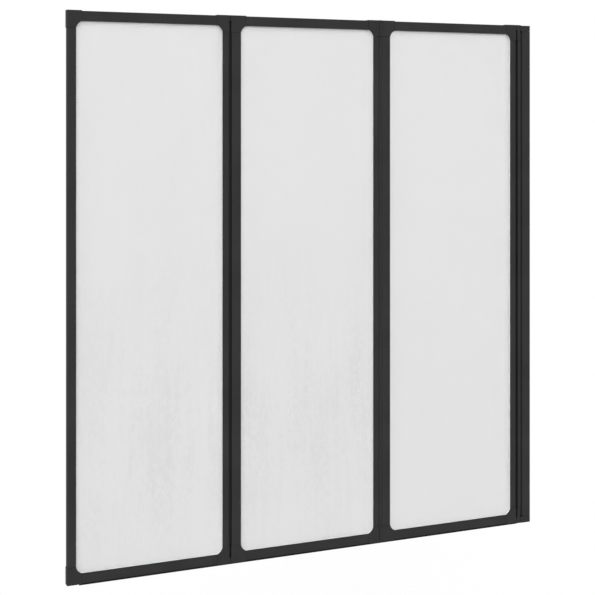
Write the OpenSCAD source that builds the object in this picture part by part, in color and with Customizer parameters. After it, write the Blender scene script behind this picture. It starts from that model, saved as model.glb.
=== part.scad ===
// Folding shower screen for the rim of a bath: three framed panes, hinged to each other and to a wall
// profile.
// Millimetres. X runs along the closed screen and ends at the wall face, x = 0.
// Y runs from the front of the screen (-) to its back (+).
// Z is up, with zero half way up the wall profile.

/* [Screen] */
// Width of the closed screen, from its free side to the wall
screen_w = 1300; // [1000:10:1500]
// Height of the screen, from the bath rim to the tops of the corner blocks
screen_h = 1380; // [1200:10:1600]

/* [Frame profiles] */
// Thickness of the frames, front to back
frame_d = 18; // [17:0.5:22]
// Face width of the stile on the free side of the screen
free_stile_w = 21.2; // [20:0.2:30]
// Face width of the left stiles at the folding joints
left_stile_w = 24.6; // [20:0.2:30]
// Face width of the right stiles, which hold the joint seals
right_stile_w = 17; // [16.8:0.2:26]
// Face width of the rails, the level profiles
rail_h = 25; // [22:0.5:35]
// Wall thickness of the frame profiles
wall_t = 1.5; // [1.3:0.1:1.7]
// Radius on the outer edges of the frame profiles
edge_r = 2.5; // [1.5:0.5:3]
// Radius on the inner edges of the frame profiles, beside the panes
lip_r = 0.8; // [0.4:0.1:0.8]
// Depth of the glazing groove
groove_depth = 6.5; // [6:0.1:6.6]

/* [Panes] */
// Thickness of the panes
pane_t = 4; // [3:0.5:6]
// How far a pane reaches into the glazing groove
pane_grip = 5; // [4:0.5:5]
// Radius of the arcs in the corners that frame the panes
corner_r = 22; // [18:1:26]
// How far these arcs reach along the rails
corner_along = 14; // [12:0.5:16]
// How far these arcs reach along the stiles
corner_down = 16; // [12:0.5:18]

/* [Corner blocks] */
// How far the corner blocks stand above and below the rails
block_proud = 1.5; // [1:0.1:2.5]
// How far the corner blocks stand in front of and behind the frame
block_skin = 0.3; // [0.2:0.1:0.4]
// How far the blocks on the free side stand out sideways
free_proud = 1; // [0.5:0.1:2]
// Length of the tongues that hold the blocks in the profiles
tongue_len = 25; // [20:1:40]

/* [Joints] */
// Distance between two neighbouring frames
joint_gap = 7.8; // [7.8:0.2:12]
// Distance of the hinge axes from the face of the frames
axis_out = 0.7; // [0.7:0.1:1.4]
// Diameter of the hinge pins
pin_d = 3.5; // [3:0.5:4]
// Radial clearance of the pins in the knuckles that turn on them
pin_play = 0.05; // [0.03:0.01:0.08]
// Depth of the joint seals, front to back
joint_seal_d = 8; // [5:0.5:8.5]

/* [Wall profile] */
// Face width of the channel on the wall
channel_w = 25.5; // [24:0.5:32]
// Wall thickness of the channel
channel_t = 1.8; // [1.6:0.1:2]
// Height of the channel's end caps
cap_h = 16; // [12:1:16]
// How far the end caps reach past the channel, towards the hinge post
cap_over = 4; // [0:0.5:5]
// Visible width of the hinge post beside the channel
post_show = 13.5; // [13:0.5:16]
// Width of the post's head, the strip that the hinge blocks continue
post_head = 6.5; // [4:0.5:7]
// Diameter of the wall screw holes
wall_hole_d = 6; // [5:0.5:7]
// Distance of the outer wall screw holes from the ends of the channel
wall_hole_end = 88; // [50:1:150]

/* [Seals and screws] */
// Height of the seals between the bath rim and the corner blocks
seal_drop = 2.5; // [2:0.5:5]
// Width of the bottom seals, front to back
seal_w = 16; // [8:0.5:17]
// Diameter of the screws' threads
screw_d = 3; // [2.5:0.5:3]
// Length of the screws
screw_len = 10; // [8:1:12]

/* [Hidden] */
$fn = 96;
eps = 0.01;

// gaps between pieces
seam = 0.6;         // between a corner block and the end of a profile
slide = 0.2;        // tongues and gaskets in their profiles
soft_gap = 0.3;     // between a seal and the part it closes against
side_gap = 0.4;     // from a block's ear to the joint line
knuckle_gap = 0.3;  // round and between the knuckles
cap_gap = 0.6;      // between the post's blocks and the channel
joint_proud = 1.6;  // how far hinged blocks stand out of the frame's side
free_seal_in = 8;   // from the free stile to the start of the first bottom seal

// panels along x
all_stiles_w = free_stile_w + 2 * left_stile_w + 3 * right_stile_w;
opening_w = (screen_w - free_proud - all_stiles_w - 3 * joint_gap - post_show - channel_w) / 3;
function stile_w(n, right) = right ? right_stile_w : (n == 1) ? free_stile_w : left_stile_w;
function panel_w(n) = stile_w(n, 0) + opening_w + right_stile_w;
function panel_x(n) = (n == 1) ? -screen_w + free_proud : panel_x(n - 1) + panel_w(n - 1) + joint_gap;
function joint_x(n) = panel_x(n) + panel_w(n) + joint_gap / 2;
// the hinge pins are behind the frames (1) at joints 1 and 3, in front of them (-1) at joint 2
function joint_side(n) = (n == 2) ? -1 : 1;

// distances from a panel's side, for a stile of width w
function block_w(w) = w + corner_along;
function rail_end(w) = block_w(w) + seam;
function tongue_stile(w) = w - groove_depth - wall_t - slide;
function stile_screw_x(w) = (tongue_out + tongue_stile(w)) / 2;
function rail_screw_x(w) = rail_end(w) + tongue_len / 2;

// levels along z
rail_top = (screen_h - block_proud - seal_drop) / 2;
rim_z = rail_top + block_proud - screen_h;
rail_bottom = rim_z + seal_drop + block_proud;

// glazing
groove_half = frame_d / 2 - wall_t;
pane_half = pane_t / 2;
opening_z0 = rail_bottom + rail_h;
opening_z1 = rail_top - rail_h;
gasket_back = groove_depth - 0.5;

// centre of a corner's arc, which passes through both ends of its reach, measured from the sharp corner
arc_k = sqrt(corner_r * corner_r / (corner_along * corner_along + corner_down * corner_down) - 0.25);
arc_x = corner_along / 2 + corner_down * arc_k;
arc_z = corner_down / 2 + corner_along * arc_k;

// slots that hold the feet of the seals
slot_neck = 1.8;
slot_head = 3.4;
slot_deep = 1.4;
slot_wall = 1.2;
slot_floor = wall_t + slot_deep + slot_wall;
foot_slack = 0.15;
slot_y = frame_d / 2 - wall_t - slot_head / 2 - 0.4;
strip_out = frame_d / 2 - 0.1;
strip_in = strip_out - joint_seal_d;
strip_wall = 1.2;
strip_slack = 0.1;

// corner blocks
block_h = rail_h + corner_down;
block_d = frame_d + 2 * block_skin;
stile_end = block_h + seam;
tongue_half = groove_half - slide;
tongue_out = slot_floor + slide;
tongue_rail = rail_h - groove_depth - wall_t - slide;
block_edge_r = edge_r - 1.3;
block_top_r = 1.6;
ear_r = 0.8;
free_corner_r = 0.8;
free_edge_r = 1.2;
free_top_r = 1;

// hinges
axis_y = frame_d / 2 + axis_out;
pin_r = pin_d / 2;
knuckle_r = pin_r + 1.4;
stack_h = block_h + block_proud;
lug_h = (stack_h - 2 * knuckle_gap) / 3;
pin_hold = 0.01;
pin_roof = 3;
pin_l = stack_h - pin_roof;
knuckle_arm = joint_gap / 2 + 2;

// wall profile, outlines measured from the wall face
channel_half = frame_d / 2 - channel_t;
post_x = -channel_w - post_show;
post_half = channel_half - 0.4;
post_neck_half = 4;
post_edge_r = 0.8;
channel_edge_r = 1.2;
post_in = 1.2;
cap_side = -channel_w - cap_over - cap_gap;
post_x0 = -channel_w + post_in;
post_x1 = -channel_t - 4.5;
lock_x = (post_x0 + post_x1) / 2;
wall_hole_z = rail_top - wall_hole_end;
lock_z = wall_hole_z * 0.75;

// screws with countersunk heads
screw_r = screw_d / 2;
head_h = 1.3;
head_r = screw_r + head_h;
screw_play = 0.05;
stile_screw_z = stile_end + tongue_len / 2;
rail_screw_z = (tongue_out + tongue_rail) / 2;

frame_color = [0.20, 0.205, 0.21];
block_color = [0.17, 0.175, 0.18];
pane_color = [0.86, 0.90, 0.90, 0.55];
gasket_color = [0.82, 0.84, 0.84];
seal_color = [0.10, 0.10, 0.10];
joint_seal_color = [0.19, 0.195, 0.20];
steel_color = [0.70, 0.71, 0.72];

// Outlines

// Rectangle with round corners: radius r0 on the low x side, r1 on the high x side
module rounded(x0, x1, y0, y1, r0, r1) {
    middle = (x0 + x1) / 2;
    translate([x0 + r0, y0])
        square([x1 - x0 - r0 - r1, y1 - y0]);
    if (r0 > 0) {
        translate([x0, y0 + r0])
            square([middle - x0, y1 - y0 - 2 * r0]);
        for (y = [y0 + r0, y1 - r0])
            translate([x0 + r0, y])
                circle(r0);
    }
    if (r1 > 0) {
        translate([middle, y0 + r1])
            square([x1 - middle, y1 - y0 - 2 * r1]);
        for (y = [y0 + r1, y1 - r1])
            translate([x1 - r1, y])
                circle(r1);
    }
}

// The same on both sides of the x axis
module rounded_bar(x0, x1, half, r0, r1) {
    rounded(x0, x1, -half, half, r0, r1);
}

// Frame profile with its outer side at x = 0 and its glazing groove on the +x side
module profile_outline(width) {
    difference() {
        rounded_bar(0, width, frame_d / 2, edge_r, lip_r);
        translate([wall_t, -groove_half])
            square([width - groove_depth - 2 * wall_t, 2 * groove_half]);
        translate([width - groove_depth, -groove_half])
            square([groove_depth + 1, 2 * groove_half]);
    }
}

// Frame profile with a slot for a seal's foot in its outer side, at height y
module slotted_outline(width, y) {
    difference() {
        union() {
            profile_outline(width);
            translate([wall_t - 0.1, y - slot_head / 2 - slot_wall])
                square([slot_floor - wall_t + 0.1, slot_head + 2 * slot_wall]);
        }
        translate([-1, y - slot_neck / 2])
            square([wall_t + 1.1, slot_neck]);
        translate([wall_t, y - slot_head / 2])
            square([slot_deep, slot_head]);
    }
}

// Foot of a seal, drawn in the slot of an outer side at x = 0
module foot_outline(y, reach) {
    translate([-reach, y - slot_neck / 2 + foot_slack])
        square([reach + wall_t + 2 * foot_slack, slot_neck - 2 * foot_slack]);
    translate([wall_t + foot_slack, y - slot_head / 2 + foot_slack])
        square([slot_deep - 2 * foot_slack, slot_head - 2 * foot_slack]);
}

// Visible opening of a pane, grown by the given amount
module opening_outline(n, grow) {
    x0 = panel_x(n) + stile_w(n, 0);
    difference() {
        translate([x0 - grow, opening_z0 - grow])
            square([opening_w + 2 * grow, opening_z1 - opening_z0 + 2 * grow]);
        for (right = [0, 1], top = [0, 1])
            translate([x0 + right * opening_w, top ? opening_z1 : opening_z0])
                mirror([right, 0, 0])
                    mirror([0, top, 0])
                        outside_arc(grow);
    }
}

// What an arc takes off the opening's sharp corner at the origin, in an outline grown by the given amount
module outside_arc(grow) {
    difference() {
        translate([-grow - 1, -grow - 1])
            square([arc_x + grow + 1, arc_z + grow + 1]);
        translate([arc_x, arc_z])
            circle(corner_r + grow);
    }
}

// Upright slab of an outline drawn in x and z
module slab(thickness) {
    rotate([90, 0, 0])
        linear_extrude(thickness, center = true)
            children();
}

// Screws

// Countersunk screw going forward from a face at y = 0
module screw() {
    rotate([90, 0, 0])
        difference() {
            union() {
                cylinder(r1 = head_r, r2 = screw_r, h = head_h);
                cylinder(r = screw_r, h = screw_len - 0.8);
                translate([0, 0, screw_len - 0.8])
                    cylinder(r1 = screw_r, r2 = screw_r - 0.6, h = 0.8);
            }
            for (turn = [0, 90])
                rotate([0, 0, turn])
                    translate([-1.6, -0.35, -1])
                        cube([3.2, 0.7, 1.8]);
        }
}

module screw_hole() {
    rotate([90, 0, 0]) {
        cylinder(r1 = head_r + screw_play, r2 = screw_r + screw_play, h = head_h);
        cylinder(r = screw_r + screw_play, h = screw_len + 0.3);
    }
}

// The eight screw places on the back of a panel: one through each stile end and each rail end
module at_screws(n) {
    for (right = [0, 1], top = [0, 1]) {
        w = stile_w(n, right);
        x_edge = panel_x(n) + right * panel_w(n);
        z_edge = top ? rail_top : rail_bottom;
        x_in = right ? -1 : 1;
        z_in = top ? -1 : 1;
        translate([x_edge + x_in * stile_screw_x(w), frame_d / 2, z_edge + z_in * stile_screw_z])
            children();
        translate([x_edge + x_in * rail_screw_x(w), frame_d / 2, z_edge + z_in * rail_screw_z])
            children();
    }
}

module at_lock_screws() {
    for (z = [-lock_z, 0, lock_z])
        translate([lock_x, frame_d / 2, z])
            children();
}

// Frame profiles

module stile(n, right) {
    z0 = rail_bottom + stile_end;
    z1 = rail_top - stile_end;
    color(frame_color)
        difference() {
            translate([panel_x(n) + right * panel_w(n), 0, z0])
                mirror([right, 0, 0])
                    linear_extrude(z1 - z0)
                        if (right)
                            slotted_outline(stile_w(n, 1), joint_side(n) * slot_y);
                        else
                            profile_outline(stile_w(n, 0));
            at_screws(n)
                screw_hole();
        }
}

module rail(n, top) {
    x0 = panel_x(n) + rail_end(stile_w(n, 0));
    length = panel_w(n) - rail_end(stile_w(n, 0)) - rail_end(stile_w(n, 1));
    color(frame_color)
        difference() {
            if (top)
                translate([x0, 0, rail_top])
                    rotate([0, 90, 0])
                        linear_extrude(length)
                            profile_outline(rail_h);
            else
                translate([x0 + length, 0, rail_bottom])
                    rotate([0, -90, 0])
                        linear_extrude(length)
                            slotted_outline(rail_h, 0);
            at_screws(n)
                screw_hole();
        }
}

// Corner blocks, drawn for a top right corner: side of the frame at x = 0, top of the rail at z = 0

// Round edges along the top of a block
module top_edges(x0, x1, radius) {
    translate([x0, 0, 0])
        rotate([90, 0, 90])
            linear_extrude(x1 - x0)
                rotate(90)
                    rounded_bar(-block_h - 1, block_proud, block_d / 2, 0, radius);
}

// The opening's arc and the glazing groove behind it
module glazing_corner(w) {
    translate([-w - arc_x, 0, -rail_h - arc_z])
        rotate([90, 0, 0]) {
            cylinder(r = corner_r, h = block_d + 2, center = true);
            cylinder(r = corner_r + groove_depth, h = 2 * groove_half, center = true);
        }
}

module block_tongues(w) {
    translate([-tongue_stile(w), -tongue_half, -stile_end - tongue_len])
        cube([tongue_stile(w) - tongue_out, 2 * tongue_half, tongue_len + seam + 2]);
    translate([-rail_end(w) - tongue_len, -tongue_half, -tongue_rail])
        cube([tongue_len + seam + 2, 2 * tongue_half, tongue_rail - tongue_out]);
}

module free_block() {
    w = free_stile_w;
    difference() {
        intersection() {
            translate([0, 0, -block_h])
                linear_extrude(block_h + block_proud)
                    rounded_bar(-block_w(w), free_proud, block_d / 2, 0, free_edge_r);
            top_edges(-block_w(w) - 1, free_proud + 1, free_top_r);
            slab(block_d + 2)
                rotate(-90)
                    rounded(-block_proud, block_h + 1, -block_w(w) - 1, free_proud, free_corner_r, 0);
        }
        glazing_corner(w);
    }
    block_tongues(w);
}

// Block at a joint, beside a stile of width w: ear is how far its top part reaches over the gap
module joint_block(w, ear) {
    difference() {
        intersection() {
            union() {
                translate([0, 0, -block_h])
                    linear_extrude(block_h + block_proud - lug_h / 2)
                        rounded_bar(-block_w(w), joint_proud, block_d / 2, 0, block_edge_r);
                translate([0, 0, block_proud - lug_h])
                    linear_extrude(lug_h)
                        rounded_bar(-block_w(w), ear, block_d / 2, 0, ear_r);
            }
            top_edges(-block_w(w) - 1, ear + 1, block_top_r);
        }
        glazing_corner(w);
    }
    block_tongues(w);
}

// Hinge parts, drawn at the top of a joint: joint line at x = 0, top of the rail at z = 0, axis behind
// the frame

function lug_z(k) = block_proud - k * lug_h - (k - 1) * knuckle_gap;

// Knuckle k, counted from the top, with an arm that reaches x = arm
module knuckle(k, arm) {
    translate([0, 0, lug_z(k)])
        linear_extrude(lug_h) {
            translate([0, axis_y])
                circle(knuckle_r);
            translate([min(arm, 0), axis_y - knuckle_r + 0.2])
                square([abs(arm), block_d / 2 - axis_y + knuckle_r - 0.2]);
        }
}

module bore(k, radius, height) {
    translate([0, axis_y, lug_z(k) - eps])
        cylinder(r = radius, h = height);
}

// Room for knuckle k of the other side, open above the first one
module knuckle_room(k) {
    translate([0, axis_y, lug_z(k) - knuckle_gap])
        cylinder(r = knuckle_r + knuckle_gap, h = lug_h + ((k == 1) ? 10 : 2 * knuckle_gap));
}

// Left-hand side of a joint: first and third knuckle, which hold the pin
module pin_side() {
    difference() {
        union() {
            difference() {
                translate([-joint_gap / 2, 0, 0])
                    joint_block(right_stile_w, joint_gap / 2 - side_gap);
                knuckle_room(2);
            }
            knuckle(1, -knuckle_arm);
            knuckle(3, -knuckle_arm);
        }
        bore(1, pin_r + pin_hold, lug_h - pin_roof + eps);
        bore(3, pin_r + pin_hold, lug_h + 2 * eps);
    }
}

// Right-hand side of a joint: the second knuckle, which turns on the pin
module turning_side() {
    difference() {
        union() {
            difference() {
                mirror([1, 0, 0])
                    translate([-joint_gap / 2, 0, 0])
                        joint_block(left_stile_w, joint_gap / 2 - side_gap);
                knuckle_room(1);
                knuckle_room(3);
            }
            knuckle(2, knuckle_arm);
        }
        bore(2, pin_r + pin_play, lug_h + 2 * eps);
    }
}

module hinge_pin() {
    translate([0, axis_y, lug_z(3)]) {
        cylinder(r1 = pin_r - 0.3, r2 = pin_r, h = 0.3);
        translate([0, 0, 0.3])
            cylinder(r = pin_r, h = pin_l - 0.8);
        translate([0, 0, pin_l - 0.5])
            cylinder(r1 = pin_r, r2 = pin_r - 0.3, h = 0.3);
    }
}

// Puts a hinge part at the top or the bottom of joint n
module at_joint(n, top) {
    translate([joint_x(n), 0, top ? rail_top : rail_bottom])
        mirror([0, 0, top ? 0 : 1])
            mirror([0, (joint_side(n) > 0) ? 0 : 1, 0])
                children();
}

module block(n, right, top) {
    color(block_color)
        difference() {
            if (right)
                at_joint(n, top)
                    pin_side();
            else if (n > 1)
                at_joint(n - 1, top)
                    turning_side();
            else
                translate([panel_x(1), 0, top ? rail_top : rail_bottom])
                    mirror([0, 0, top ? 0 : 1])
                        mirror([1, 0, 0])
                            free_block();
            at_screws(n)
                screw_hole();
        }
}

module pins(n) {
    color(steel_color)
        for (top = [false, true])
            at_joint(n, top)
                hinge_pin();
}

// Seal that closes a joint, level with the face on the hinge side. One of its walls runs on
// between the corner blocks, up to their ears
module joint_seal(n) {
    end = block_h + soft_gap;
    wall_end = lug_h - block_proud + soft_gap;
    color(joint_seal_color)
        translate([joint_x(n), 0, 0])
            mirror([0, (joint_side(n) > 0) ? 0 : 1, 0]) {
                translate([0, 0, rail_bottom + end])
                    linear_extrude(rail_top - rail_bottom - 2 * end)
                        joint_seal_outline();
                translate([0, 0, rail_bottom + wall_end])
                    linear_extrude(rail_top - rail_bottom - 2 * wall_end)
                        seal_wall_outline();
            }
}

module seal_wall_outline() {
    x0 = -joint_gap / 2 + joint_proud + strip_slack;
    x1 = joint_gap / 2 - joint_proud - soft_gap;
    translate([x0, strip_in])
        square([x1 - x0, strip_wall]);
}

module joint_seal_outline() {
    x0 = -joint_gap / 2 + strip_slack;
    x1 = joint_gap / 2 - soft_gap;
    difference() {
        union() {
            rounded(x0, x1, strip_in, strip_out, 0, 0.6);
            translate([-joint_gap / 2, 0])
                mirror([1, 0])
                    foot_outline(slot_y, 0.5);
        }
        rounded(x0 + strip_wall, x1 - strip_wall, strip_in + strip_wall, strip_out - strip_wall, 0.4, 0.4);
    }
}

// Glazing

module pane(n) {
    color(pane_color)
        slab(pane_t)
            opening_outline(n, pane_grip);
}

module glazing_gasket(n) {
    color(gasket_color)
        difference() {
            slab(2 * groove_half - slide)
                difference() {
                    opening_outline(n, gasket_back);
                    opening_outline(n, slide);
                }
            slab(pane_t + 0.1)
                opening_outline(n, pane_grip + 0.2);
        }
}

module frame_screws(n) {
    color(steel_color)
        at_screws(n)
            screw();
}

// Bottom seal: a soft strip on the bath rim with a foot in the bottom rail

module seal_strip(x0, x1, height) {
    translate([x0, 0, rim_z])
        rotate([90, 0, 90])
            linear_extrude(x1 - x0)
                rotate(90)
                    rounded_bar(0, height, seal_w / 2, min(0.8, height / 2), 0);
}

module bottom_seal(n) {
    x0 = (n == 1) ? panel_x(1) + free_stile_w + free_seal_in : joint_x(n - 1) + side_gap;
    x1 = joint_x(n) - side_gap;
    foot_x0 = panel_x(n) + rail_end(stile_w(n, 0)) + 0.1;
    foot_x1 = panel_x(n) + panel_w(n) - rail_end(stile_w(n, 1)) - 0.1;
    color(seal_color) {
        seal_strip(x0, x1, seal_drop - slide);
        seal_strip(foot_x0, foot_x1, seal_drop + block_proud - 0.1);
        translate([foot_x1, 0, rail_bottom])
            rotate([0, -90, 0])
                linear_extrude(foot_x1 - foot_x0)
                    foot_outline(0, 0.5);
    }
}

// Wall profile

module wall_channel() {
    z1 = rail_top - cap_h - seam;
    color(frame_color)
        difference() {
            translate([0, 0, -z1])
                linear_extrude(2 * z1)
                    difference() {
                        rounded_bar(-channel_w, 0, frame_d / 2, channel_edge_r / 2, channel_edge_r);
                        translate([-channel_w - 1, -channel_half])
                            square([channel_w + 1 - channel_t, 2 * channel_half]);
                    }
            for (z = [-wall_hole_z, -wall_hole_z / 3, wall_hole_z / 3, wall_hole_z])
                translate([-channel_t - 1, 0, z])
                    rotate([0, 90, 0])
                        cylinder(d = wall_hole_d, h = channel_t + 2);
            at_lock_screws()
                screw_hole();
        }
}

module channel_cap(top) {
    drop = top ? 0 : block_proud;
    color(block_color)
        mirror([0, 0, top ? 0 : 1]) {
            translate([0, 0, rail_top - cap_h])
                linear_extrude(cap_h + drop)
                    rounded_bar(-channel_w - cap_over, 0, frame_d / 2, channel_edge_r, channel_edge_r);
            translate([-channel_t - 4, -channel_half + 0.3, rail_top - cap_h - 12])
                cube([3.8, 2 * channel_half - 0.6, 13]);
        }
}

// Post: head beside the channel, neck, and a hollow body inside the channel
module post_head_outline(grow) {
    half = frame_d / 2 + min(grow, block_skin);
    rounded_bar(post_x - grow, post_x + post_head, half, post_edge_r, post_edge_r);
}

module post_neck_outline(x_end) {
    x0 = post_x + post_head - 0.5;
    translate([x0, -post_neck_half])
        square([x_end - x0, 2 * post_neck_half]);
}

module post_body_outline() {
    translate([post_x0, -post_half])
        square([post_x1 - post_x0, 2 * post_half]);
}

module hinge_post() {
    z0 = rail_bottom + stile_end;
    z1 = rail_top - stile_end;
    color(frame_color)
        difference() {
            translate([0, 0, z0])
                linear_extrude(z1 - z0)
                    difference() {
                        union() {
                            post_head_outline(0);
                            post_neck_outline(post_x0 + 0.5);
                            post_body_outline();
                        }
                        translate([post_x0 + wall_t, -post_half + wall_t])
                            square([post_x1 - post_x0 - 2 * wall_t, 2 * (post_half - wall_t)]);
                    }
            at_lock_screws()
                screw_hole();
        }
}

// Block on the end of the post: its top part closes the gaps beside the panel and the channel,
// and reaches the given amount past the ends of the other blocks
module post_block(extra) {
    difference() {
        union() {
            difference() {
                union() {
                    intersection() {
                        translate([0, 0, block_proud - lug_h])
                            linear_extrude(lug_h + extra)
                                rounded_bar(joint_x(3) + side_gap, cap_side, block_d / 2,
                                            post_edge_r, post_edge_r);
                        translate([0, 0, extra])
                            top_edges(joint_x(3) - 1, 1, block_top_r);
                    }
                    translate([0, 0, -block_h])
                        linear_extrude(block_h) {
                            post_head_outline(joint_proud);
                            post_neck_outline(cap_side);
                        }
                }
                translate([joint_x(3), 0, 0]) {
                    knuckle_room(1);
                    knuckle_room(3);
                }
            }
            translate([joint_x(3), 0, 0])
                knuckle(2, joint_gap / 2 + 1);
            translate([0, 0, -block_h])
                linear_extrude(block_h - cap_h - seam) {
                    post_neck_outline(post_x0 + 0.5);
                    post_body_outline();
                }
            translate([post_x0 + wall_t + slide, -post_half + wall_t + slide, -stile_end - tongue_len])
                cube([post_x1 - post_x0 - 2 * (wall_t + slide), 2 * (post_half - wall_t - slide),
                      tongue_len + seam + 1]);
        }
        translate([joint_x(3), 0, 0])
            bore(2, pin_r + pin_play, lug_h + 2 * eps);
    }
}

module hinge_post_block(top) {
    color(block_color)
        translate([0, 0, top ? rail_top : rail_bottom])
            mirror([0, 0, top ? 0 : 1])
                post_block(top ? 0 : block_proud);
}

module post_lock_screws() {
    color(steel_color)
        at_lock_screws()
            screw();
}

// Parts

wall_channel();
channel_cap(true);  // wall_channel_cap_top
channel_cap(false);  // wall_channel_cap_bottom
hinge_post();
hinge_post_block(true);  // hinge_post_block_top
hinge_post_block(false);  // hinge_post_block_bottom
post_lock_screws();

for (n = [1, 2, 3]) {
    panel = str("panel_", n);
    stile(n, 0);
    stile(n, 1);
    rail(n, true);
    rail(n, false);
    block(n, false, true);
    block(n, true, true);
    block(n, false, false);
    block(n, true, false);
    pane(n);
    glazing_gasket(n);
    bottom_seal(n);
    frame_screws(n);
}

pins(1);  // outer_fold_pins
pins(2);  // inner_fold_pins
pins(3);  // wall_hinge_pins
joint_seal(1);  // outer_fold_seal
joint_seal(2);  // inner_fold_seal
joint_seal(3);  // wall_hinge_seal
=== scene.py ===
"""Looks, light and camera for the folding shower screen.

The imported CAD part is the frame: every node keeps its shape and gets a node
material here. X runs along the closed screen to the wall at x = 0, Y from the
front face to the back, and Z up. Lengths are metres, apart from the camera's
lens and sensor, which are millimetres.
"""

import math

import bpy
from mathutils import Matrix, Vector

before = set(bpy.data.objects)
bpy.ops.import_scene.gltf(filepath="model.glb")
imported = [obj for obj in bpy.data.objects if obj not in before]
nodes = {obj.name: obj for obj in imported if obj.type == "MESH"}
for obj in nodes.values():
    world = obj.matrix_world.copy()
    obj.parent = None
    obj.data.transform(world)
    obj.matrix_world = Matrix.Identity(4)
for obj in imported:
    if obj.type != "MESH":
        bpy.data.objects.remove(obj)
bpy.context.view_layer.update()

# Colours, linear

POWDER_DARK = (0.0262, 0.0262, 0.0266, 1)
POWDER_LIGHT = (0.0332, 0.0332, 0.0336, 1)
PLASTIC_DARK = (0.0258, 0.0258, 0.0262, 1)
PLASTIC_LIGHT = (0.0318, 0.0318, 0.0322, 1)
RUBBER_DARK = (0.0080, 0.0080, 0.0085, 1)
RUBBER_LIGHT = (0.0130, 0.0130, 0.0135, 1)
GASKET_DARK = (0.78, 0.78, 0.78, 1)
GASKET_LIGHT = (0.90, 0.90, 0.90, 1)
GASKET_BASE = (0.030, 0.030, 0.031, 1)
STEEL_DARK = (0.42, 0.42, 0.43, 1)
STEEL_LIGHT = (0.60, 0.60, 0.61, 1)
PANE_CLEAR = (0.779, 0.779, 0.779, 1)
# Grey of the panes' marks, which also serves as painted shade low in the outer panels
PANE_MARK_AND_SHADE = (0.700, 0.700, 0.700, 1)
FLOOR_COLOR = (0.80, 0.80, 0.80)
WHITE = (1, 1, 1, 1)

# Least and greatest roughness of each finish

POWDER_ROUGHNESS = (0.56, 0.66)
PLASTIC_ROUGHNESS = (0.58, 0.70)
JOINT_RUBBER_ROUGHNESS = (0.56, 0.68)
RIM_RUBBER_ROUGHNESS = (0.62, 0.78)
GASKET_ROUGHNESS = (0.38, 0.52)
STEEL_ROUGHNESS = (0.26, 0.42)
PANE_ROUGHNESS = (0.30, 0.42)
FLOOR_ROUGHNESS = 0.9

# How far roughness drifts either way over a coated or moulded surface

ROUGHNESS_DRIFT = 0.03

# Strength of the shine on the matt finishes and on the gaskets

MATT_SPECULAR = 0.1
GASKET_SPECULAR = 0.35

# Relief of each finish: its depth, and how strongly it turns the light

POWDER_RELIEF = (0.00006, 0.6)
PLASTIC_RELIEF = (0.00005, 0.7)
RUBBER_RELIEF = (0.00005, 0.6)
GASKET_RELIEF = (0.00004, 0.5)
STEEL_RELIEF = (0.00003, 0.5)
PANE_RELIEF = (0.0004, 0.35)

# Features to the metre along X, Y and Z

POWDER_CLOUDS = (9, 9, 9)
POWDER_PEBBLES = (850, 850, 850)
PLASTIC_CLOUDS = (22, 22, 22)
PLASTIC_GRAIN = (1500, 1500, 1500)
PLASTIC_FLOW = (60, 60, 20)
RUBBER_BLOOM = (35, 35, 35)
GASKET_CLOUDS = (45, 45, 45)
GASKET_GRAIN = (700, 700, 700)
STEEL_CLOUDS = (160, 160, 160)
STEEL_MARKS = (2600, 2600, 240)
PANE_DROPS = (95, 95, 62)
PANE_CROWDS = (11, 11, 4.5)
PANE_RUNS = (55, 55, 3.2)
PANE_DASHES = (150, 150, 48)
PANE_SWATHES = (9, 9, 2)
FLOOR_PATCHES = (1.5, 1.5, 1.5)

# Fine lines of an extruded piece: features to the metre along it and across it

POWDER_LINES = (3, 700)
RUBBER_LINES = (6, 900)

# How high the powder coat's lines stand beside its pebbles

POWDER_LINE_SHARE = 0.25

# How far from the panes' middle the gaskets' pale lips end

GASKET_LIP_END = (0.0066, 0.0070)

# Share of the light that goes under the surface, and how far

GASKET_SUBSURFACE = (0.3, 0.002)
PANE_SUBSURFACE = (1.0, 0.008)
ALL_COLORS_ALIKE = (1.0, 1.0, 1.0)

# Share of the light that passes through the panes, and their refractive index

PANE_TRANSMISSION = 0.4
PANE_INDEX = 1.5

# A raindrop, in cells of the pattern: its dome's radius, and where its pale ring starts, peaks and ends

DROP_RADIUS = 0.36
RING_START = 0.22
RING_PALEST = 0.38
RING_END = 0.50
RING_STRENGTH = 0.8

# Noise levels between which the drops crowd together and the runs darken; the runs' grey is partly
# painted shade

CROWD_EDGE = (0.36, 0.56)
RUN_EDGE = (0.36, 0.66)

# What each kind of mark adds to the grey wash, which is partly painted shade on the lower panes, and
# the runs' part in the relief

RUN_WASH = (0.08, 0.48)
DASH_WASH = (-0.18, 0.18)
SWATHE_WASH = (-0.26, 0.26)
RUN_RELIEF_SHARE = 0.8

# Where the panes' pattern and its painted shade fade: heights towards the top and the foot, and places
# along X inwards

FADE_UP = (-0.30, 0.16)
FADE_DOWN = (-0.64, -0.44)
FADE_INWARD = (-0.52, -0.40)

# What is left of the pattern and its painted shade at the top, at the foot and in the inner panel

LEFT_AT_TOP = 0.12
LEFT_AT_FOOT = 0.45
LEFT_INWARD = 0.1

# The studio

FLOOR_Z = -1.24
FLOOR_HALF = 40.0
FLOOR_TONES = (0.985, 1.0)
FLOOR_GLOW_SHARE = 0.79
FLOOR_GLOW = 1.08
AMBIENT = 0.42
BACKDROP = 1.0
KEY_FROM = (-1.3, -3.0, 1.8)
KEY_STRENGTH = 1.9
FILL_FROM = (-1.6, 2.4, 2.8)
FILL_STRENGTH = 0.9
LAMP_ANGLE = math.radians(50)

# The photograph's viewpoint

CAMERA_AT = (-2.0034, -3.0731, 0.4200)
CAMERA_LEVEL = math.radians(90)
CAMERA_TURN = math.radians(-23.010)
CAMERA_LENS = 78.437
CAMERA_SENSOR = 36.0
CAMERA_SHIFT_Y = -0.2943
CAMERA_REACH = 200

# The Mix node's sockets when it mixes colours

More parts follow.
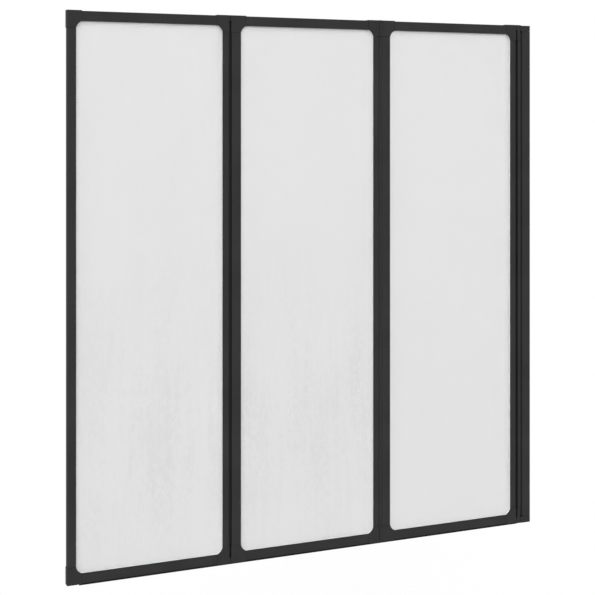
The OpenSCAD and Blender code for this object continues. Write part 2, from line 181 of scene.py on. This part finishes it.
MIX_FACTOR = 0
MIX_A = 6
MIX_B = 7
MIX_RESULT = 2


# Building node materials


def set_sockets(tree, node, sockets):
    """Sets a node's inputs to numbers or colours, or links them to other nodes' outputs."""
    for name, value in sockets.items():
        if isinstance(value, bpy.types.NodeSocket):
            tree.links.new(value, node.inputs[name])
        else:
            node.inputs[name].default_value = value


def add(tree, kind, sockets, **settings):
    """A new node with its settings and its inputs."""
    made = tree.nodes.new(kind)
    for name, value in settings.items():
        setattr(made, name, value)
    set_sockets(tree, made, sockets)
    return made


def start_material(name):
    """An empty node material with one Principled shader at its output."""
    material = bpy.data.materials.new(name)
    material.use_nodes = True
    tree = material.node_tree
    tree.nodes.clear()
    shader = add(tree, "ShaderNodeBsdfPrincipled", {})
    add(tree, "ShaderNodeOutputMaterial", {"Surface": shader.outputs["BSDF"]})
    return material, tree, shader


def place(tree):
    """The surface's own coordinates in metres."""
    return add(tree, "ShaderNodeTexCoord", {}).outputs["Object"]


def coordinate(tree, axis):
    """One of the surface's own coordinates in metres."""
    return add(tree, "ShaderNodeSeparateXYZ", {"Vector": place(tree)}).outputs[axis]


def scaled_place(tree, scale):
    """The surface's own coordinates in metres, times a scale for each axis."""
    made = add(tree, "ShaderNodeVectorMath", {0: place(tree), 1: scale}, operation="MULTIPLY")
    return made.outputs["Vector"]


def noise(tree, scale, detail=2.0, roughness=0.5, distortion=0.0):
    """Noise from 0 to 1, with so many features to the metre on each axis."""
    sockets = {
        "Vector": scaled_place(tree, scale),
        "Scale": 1.0,
        "Detail": detail,
        "Roughness": roughness,
        "Distortion": distortion,
    }
    return add(tree, "ShaderNodeTexNoise", sockets).outputs["Fac"]


def drawn_lines(tree, along, counts, detail):
    """Noise in fine lines that run along one axis."""
    lengthwise, across = counts
    scale = tuple(lengthwise if axis == along else across for axis in "XYZ")
    return noise(tree, scale, detail=detail)


def span(tree, value, low, high, start=0.3, end=0.7):
    """Maps a value between start and end onto low to high."""
    sockets = {
        "Value": value,
        "From Min": start,
        "From Max": end,
        "To Min": low,
        "To Max": high,
    }
    return add(tree, "ShaderNodeMapRange", sockets).outputs["Result"]


def math_node(tree, operation, *values, clamp=False):
    """The result of one operation on one or two values."""
    sockets = dict(enumerate(values))
    made = add(tree, "ShaderNodeMath", sockets, operation=operation, use_clamp=clamp)
    return made.outputs["Value"]


def mix_colors(tree, share, a, b):
    """Colour a at share 0 and b at share 1."""
    sockets = {MIX_FACTOR: share, MIX_A: a, MIX_B: b}
    return add(tree, "ShaderNodeMix", sockets, data_type="RGBA").outputs[MIX_RESULT]


def mix_shaders(tree, share, first, second):
    """Puts the first shader at the output where share is 0, and the second where it is 1."""
    mixed = add(tree, "ShaderNodeMixShader", {0: share, 1: first, 2: second})
    output = next(n for n in tree.nodes if n.type == "OUTPUT_MATERIAL")
    set_sockets(tree, output, {"Surface": mixed.outputs["Shader"]})


def bump(tree, height, relief):
    """The normal of a surface raised by a height from 0 to 1 times the relief's depth."""
    depth, strength = relief
    sockets = {"Strength": strength, "Distance": depth, "Height": height}
    return add(tree, "ShaderNodeBump", sockets).outputs["Normal"]


def drifting_roughness(tree, grain, drift, limits):
    """Roughness from a fine grain, which drifts a little with a broader noise."""
    slow = span(tree, drift, -ROUGHNESS_DRIFT, ROUGHNESS_DRIFT)
    return math_node(tree, "ADD", span(tree, grain, *limits), slow)


# Materials


def powder_coat(name, along):
    """Matt powder coat over an extruded profile that runs along one axis."""
    material, tree, shader = start_material(name)
    cloud = noise(tree, POWDER_CLOUDS, detail=3)
    pebble = noise(tree, POWDER_PEBBLES, detail=3, roughness=0.6)
    lines = drawn_lines(tree, along, POWDER_LINES, detail=1)
    low_lines = math_node(tree, "MULTIPLY", lines, POWDER_LINE_SHARE)
    height = math_node(tree, "ADD", pebble, low_lines)
    sockets = {
        "Base Color": mix_colors(tree, span(tree, cloud, 0, 1), POWDER_DARK, POWDER_LIGHT),
        "Roughness": drifting_roughness(tree, pebble, cloud, POWDER_ROUGHNESS),
        "Specular IOR Level": MATT_SPECULAR,
        "Normal": bump(tree, height, POWDER_RELIEF),
    }
    set_sockets(tree, shader, sockets)
    return material


def moulded_plastic(name):
    """Matt moulded plastic with a fine spark-eroded grain."""
    material, tree, shader = start_material(name)
    cloud = noise(tree, PLASTIC_CLOUDS)
    grain = noise(tree, PLASTIC_GRAIN, roughness=0.65)
    flow = noise(tree, PLASTIC_FLOW, detail=3, distortion=0.6)
    sockets = {
        "Base Color": mix_colors(tree, span(tree, cloud, 0, 1), PLASTIC_DARK, PLASTIC_LIGHT),
        "Roughness": drifting_roughness(tree, grain, flow, PLASTIC_ROUGHNESS),
        "Specular IOR Level": MATT_SPECULAR,
        "Normal": bump(tree, grain, PLASTIC_RELIEF),
    }
    set_sockets(tree, shader, sockets)
    return material


def soft_rubber(name, dark, light, along, roughness):
    """Extruded rubber: faint lines along its run and a dull bloom."""
    material, tree, shader = start_material(name)
    bloom = noise(tree, RUBBER_BLOOM, detail=4, roughness=0.6)
    lines = drawn_lines(tree, along, RUBBER_LINES, detail=2)
    sockets = {
        "Base Color": mix_colors(tree, span(tree, bloom, 0, 1), dark, light),
        "Roughness": span(tree, bloom, *roughness),
        "Specular IOR Level": MATT_SPECULAR,
        "Normal": bump(tree, lines, RUBBER_RELIEF),
    }
    set_sockets(tree, shader, sockets)
    return material


def clear_gasket(name):
    """Glazing gasket with pale translucent lips at the pane and a dark base in the groove."""
    material, tree, shader = start_material(name)
    cloud = noise(tree, GASKET_CLOUDS, detail=3)
    grain = noise(tree, GASKET_GRAIN)
    lips = mix_colors(tree, span(tree, cloud, 0, 1), GASKET_DARK, GASKET_LIGHT)
    from_middle = math_node(tree, "ABSOLUTE", coordinate(tree, "Y"))
    in_groove = span(tree, from_middle, 0, 1, *GASKET_LIP_END)
    light_share, light_reach = GASKET_SUBSURFACE
    sockets = {
        "Base Color": mix_colors(tree, in_groove, lips, GASKET_BASE),
        "Roughness": span(tree, grain, *GASKET_ROUGHNESS),
        "Specular IOR Level": GASKET_SPECULAR,
        "Subsurface Weight": light_share,
        "Subsurface Scale": light_reach,
        "Normal": bump(tree, grain, GASKET_RELIEF),
    }
    set_sockets(tree, shader, sockets)
    return material


def brushed_steel(name):
    """Stainless steel with fine tool marks."""
    material, tree, shader = start_material(name)
    marks_and_shade = noise(tree, STEEL_MARKS)
    cloud = noise(tree, STEEL_CLOUDS)
    sockets = {
        "Base Color": mix_colors(tree, span(tree, cloud, 0, 1), STEEL_DARK, STEEL_LIGHT),
        "Metallic": 1.0,
        "Roughness": span(tree, marks_and_shade, *STEEL_ROUGHNESS),
        "Normal": bump(tree, marks_and_shade, STEEL_RELIEF),
    }
    set_sockets(tree, shader, sockets)
    return material


def raindrops(tree):
    """Crowds of pressed drops: their domes, and the pale rings round them, from 0 to 1."""
    sockets = {"Vector": scaled_place(tree, PANE_DROPS), "Scale": 1.0, "Randomness": 1.0}
    distance = add(tree, "ShaderNodeTexVoronoi", sockets, feature="F1").outputs["Distance"]
    present = span(tree, noise(tree, PANE_CROWDS), 0, 1, *CROWD_EDGE)
    dome = span(tree, distance, 1, 0, start=0.0, end=DROP_RADIUS)
    inner_ring = span(tree, distance, 0, 1, start=RING_START, end=RING_PALEST)
    outer_ring = span(tree, distance, 1, 0, start=RING_PALEST, end=RING_END)
    ring = math_node(tree, "MULTIPLY", inner_ring, outer_ring)
    return (
        math_node(tree, "MULTIPLY", dome, present),
        math_node(tree, "MULTIPLY", ring, present),
    )


def pattern_and_painted_shade(tree):
    """How much of the pattern and its painted shade there is: 1 low in the two outer panels, and less
    elsewhere, so the lower middle of those panes is painted darker.
    """
    height = coordinate(tree, "Z")
    low = span(tree, height, 1.0, LEFT_AT_TOP, *FADE_UP)
    above_foot = span(tree, height, LEFT_AT_FOOT, 1.0, *FADE_DOWN)
    outward = span(tree, coordinate(tree, "X"), 1.0, LEFT_INWARD, *FADE_INWARD)
    upright = math_node(tree, "MULTIPLY", low, above_foot)
    return math_node(tree, "MULTIPLY", upright, outward)


def marks_and_painted_shade(tree, runs):
    """How grey the glass looks with its runs, short dashes and broad swathes: partly streaks in the
    glass, and partly painted shade, since the runs' grey darkens it on the whole.
    """
    dashes = span(tree, noise(tree, PANE_DASHES, detail=1), *DASH_WASH)
    swathes = span(tree, noise(tree, PANE_SWATHES, detail=1), *SWATHE_WASH)
    uneven = math_node(tree, "ADD", dashes, swathes)
    return math_node(tree, "ADD", span(tree, runs, *RUN_WASH, *RUN_EDGE), uneven)


def raindrop_pane(name):
    """Milky glass pressed with raindrops and runs, which show as a faint grey with pale rings; where
    the grey gathers low in the outer panels it is painted shade.
    """
    material, tree, shader = start_material(name)
    domes, rings = raindrops(tree)
    runs = noise(tree, PANE_RUNS, detail=3, roughness=0.55, distortion=0.3)
    pale = math_node(tree, "MULTIPLY", rings, RING_STRENGTH)
    # Painted shade: the marks' grey, heaviest low in the two outer panels, darkens the lower middle of
    # those panes
    marks_and_shade = math_node(tree, "SUBTRACT", marks_and_painted_shade(tree, runs), pale, clamp=True)
    share = math_node(tree, "MULTIPLY", marks_and_shade, pattern_and_painted_shade(tree))
    low_runs = math_node(tree, "MULTIPLY", runs, RUN_RELIEF_SHARE)
    height = math_node(tree, "ADD", domes, low_runs)
    light_share, light_reach = PANE_SUBSURFACE
    sockets = {
        "Base Color": mix_colors(tree, share, PANE_CLEAR, PANE_MARK_AND_SHADE),
        "Roughness": span(tree, runs, *PANE_ROUGHNESS),
        "IOR": PANE_INDEX,
        "Transmission Weight": PANE_TRANSMISSION,
        "Subsurface Weight": light_share,
        "Subsurface Scale": light_reach,
        "Subsurface Radius": ALL_COLORS_ALIKE,
        "Normal": bump(tree, height, PANE_RELIEF),
    }
    set_sockets(tree, shader, sockets)
    let_lamps_through(tree, shader)
    return material


def let_lamps_through(tree, shader):
    """Lamps' rays pass the pane, so that it throws only a faint shadow."""
    from_lamp = add(tree, "ShaderNodeLightPath", {}).outputs["Is Shadow Ray"]
    clear = add(tree, "ShaderNodeBsdfTransparent", {"Color": PANE_CLEAR})
    mix_shaders(tree, from_lamp, shader.outputs["BSDF"], clear.outputs["BSDF"])


coat_upright = powder_coat("powder_coat_upright", "Z")
coat_level = powder_coat("powder_coat_level", "X")
plastic = moulded_plastic("moulded_plastic")
joint_rubber = soft_rubber("joint_rubber", POWDER_DARK, POWDER_LIGHT, "Z", JOINT_RUBBER_ROUGHNESS)
rim_rubber = soft_rubber("rim_rubber", RUBBER_DARK, RUBBER_LIGHT, "X", RIM_RUBBER_ROUGHNESS)
gasket = clear_gasket("glazing_gasket")
steel = brushed_steel("brushed_steel")
pane = raindrop_pane("raindrop_pane")

# The material of each node by the end of its name, apart from blocks and caps

FINISHES = {
    "_pane": pane,
    "_gasket": gasket,
    "_bottom_seal": rim_rubber,
    "_fold_seal": joint_rubber,
    "_hinge_seal": joint_rubber,
    "_pins": steel,
    "_screws": steel,
    "_rail": coat_level,
    "_stile": coat_upright,
    "hinge_post": coat_upright,
    "wall_channel": coat_upright,
}


def material_for(node_name):
    """The finished material of a CAD node, by what it is."""
    if "_block" in node_name or "_cap_" in node_name:
        return plastic
    return next(finish for ending, finish in FINISHES.items() if node_name.endswith(ending))


for node_name, node in nodes.items():
    for material_slot in node.material_slots:
        material_slot.material = material_for(node_name)


# Studio: a pale floor where the bath would stand, a white backdrop all round and two soft lamps


def seen_directly(tree):
    """1 for rays of the camera, of gloss and of what shows through glass."""
    path = add(tree, "ShaderNodeLightPath", {}).outputs
    either = math_node(tree, "MAXIMUM", path["Is Camera Ray"], path["Is Glossy Ray"])
    return math_node(tree, "MAXIMUM", either, path["Is Transmission Ray"])


def floor_finish(name):
    """Pale matt floor with faint patches, which looks almost white but keeps shadows."""
    material, tree, shader = start_material(name)
    tones = span(tree, noise(tree, FLOOR_PATCHES, detail=3), *FLOOR_TONES)
    tint = add(tree, "ShaderNodeVectorMath", {0: FLOOR_COLOR, "Scale": tones}, operation="SCALE")
    sockets = {
        "Base Color": tint.outputs["Vector"],
        "Roughness": FLOOR_ROUGHNESS,
        "Specular IOR Level": 0.0,
    }
    set_sockets(tree, shader, sockets)
    glow = add(tree, "ShaderNodeEmission", {"Color": WHITE, "Strength": FLOOR_GLOW})
    share = math_node(tree, "MULTIPLY", seen_directly(tree), FLOOR_GLOW_SHARE)
    mix_shaders(tree, share, shader.outputs["BSDF"], glow.outputs["Emission"])
    return material


def build_floor():
    """One large level square."""
    signs = ((-1, -1), (1, -1), (1, 1), (-1, 1))
    corners = [(x * FLOOR_HALF, y * FLOOR_HALF, FLOOR_Z) for x, y in signs]
    mesh = bpy.data.meshes.new("studio_floor")
    mesh.from_pydata(corners, [], [(0, 1, 2, 3)])
    mesh.materials.append(floor_finish("studio_floor"))
    floor = bpy.data.objects.new("studio_floor", mesh)
    bpy.context.scene.collection.objects.link(floor)


def build_world():
    """White where it is seen directly, and dimmer as a light on matt surfaces."""
    world = bpy.data.worlds.new("studio")
    world.use_nodes = True
    tree = world.node_tree
    tree.nodes.clear()
    strength = span(tree, seen_directly(tree), AMBIENT, BACKDROP, start=0, end=1)
    background = add(tree, "ShaderNodeBackground", {"Color": WHITE, "Strength": strength})
    add(tree, "ShaderNodeOutputWorld", {"Surface": background.outputs["Background"]})
    bpy.context.scene.world = world


def build_lamp(name, came_from, strength):
    """A wide soft lamp that shines from a place towards the origin."""
    data = bpy.data.lights.new(name, "SUN")
    data.energy = strength
    data.angle = LAMP_ANGLE
    lamp = bpy.data.objects.new(name, data)
    lamp.location = came_from
    lamp.rotation_euler = Vector(came_from).to_track_quat("Z", "Y").to_euler()
    bpy.context.scene.collection.objects.link(lamp)


def build_camera():
    """A level camera at the photograph's viewpoint, shifted down to its framing."""
    data = bpy.data.cameras.new("camera")
    data.lens = CAMERA_LENS
    data.sensor_width = CAMERA_SENSOR
    data.shift_y = CAMERA_SHIFT_Y
    data.clip_end = CAMERA_REACH
    camera = bpy.data.objects.new("camera", data)
    camera.location = CAMERA_AT
    camera.rotation_euler = (CAMERA_LEVEL, 0, CAMERA_TURN)
    bpy.context.scene.collection.objects.link(camera)
    bpy.context.scene.camera = camera


build_floor()
build_world()
build_lamp("key_lamp", KEY_FROM, KEY_STRENGTH)
build_lamp("fill_lamp", FILL_FROM, FILL_STRENGTH)
build_camera()
bpy.context.scene.view_settings.view_transform = "Standard"
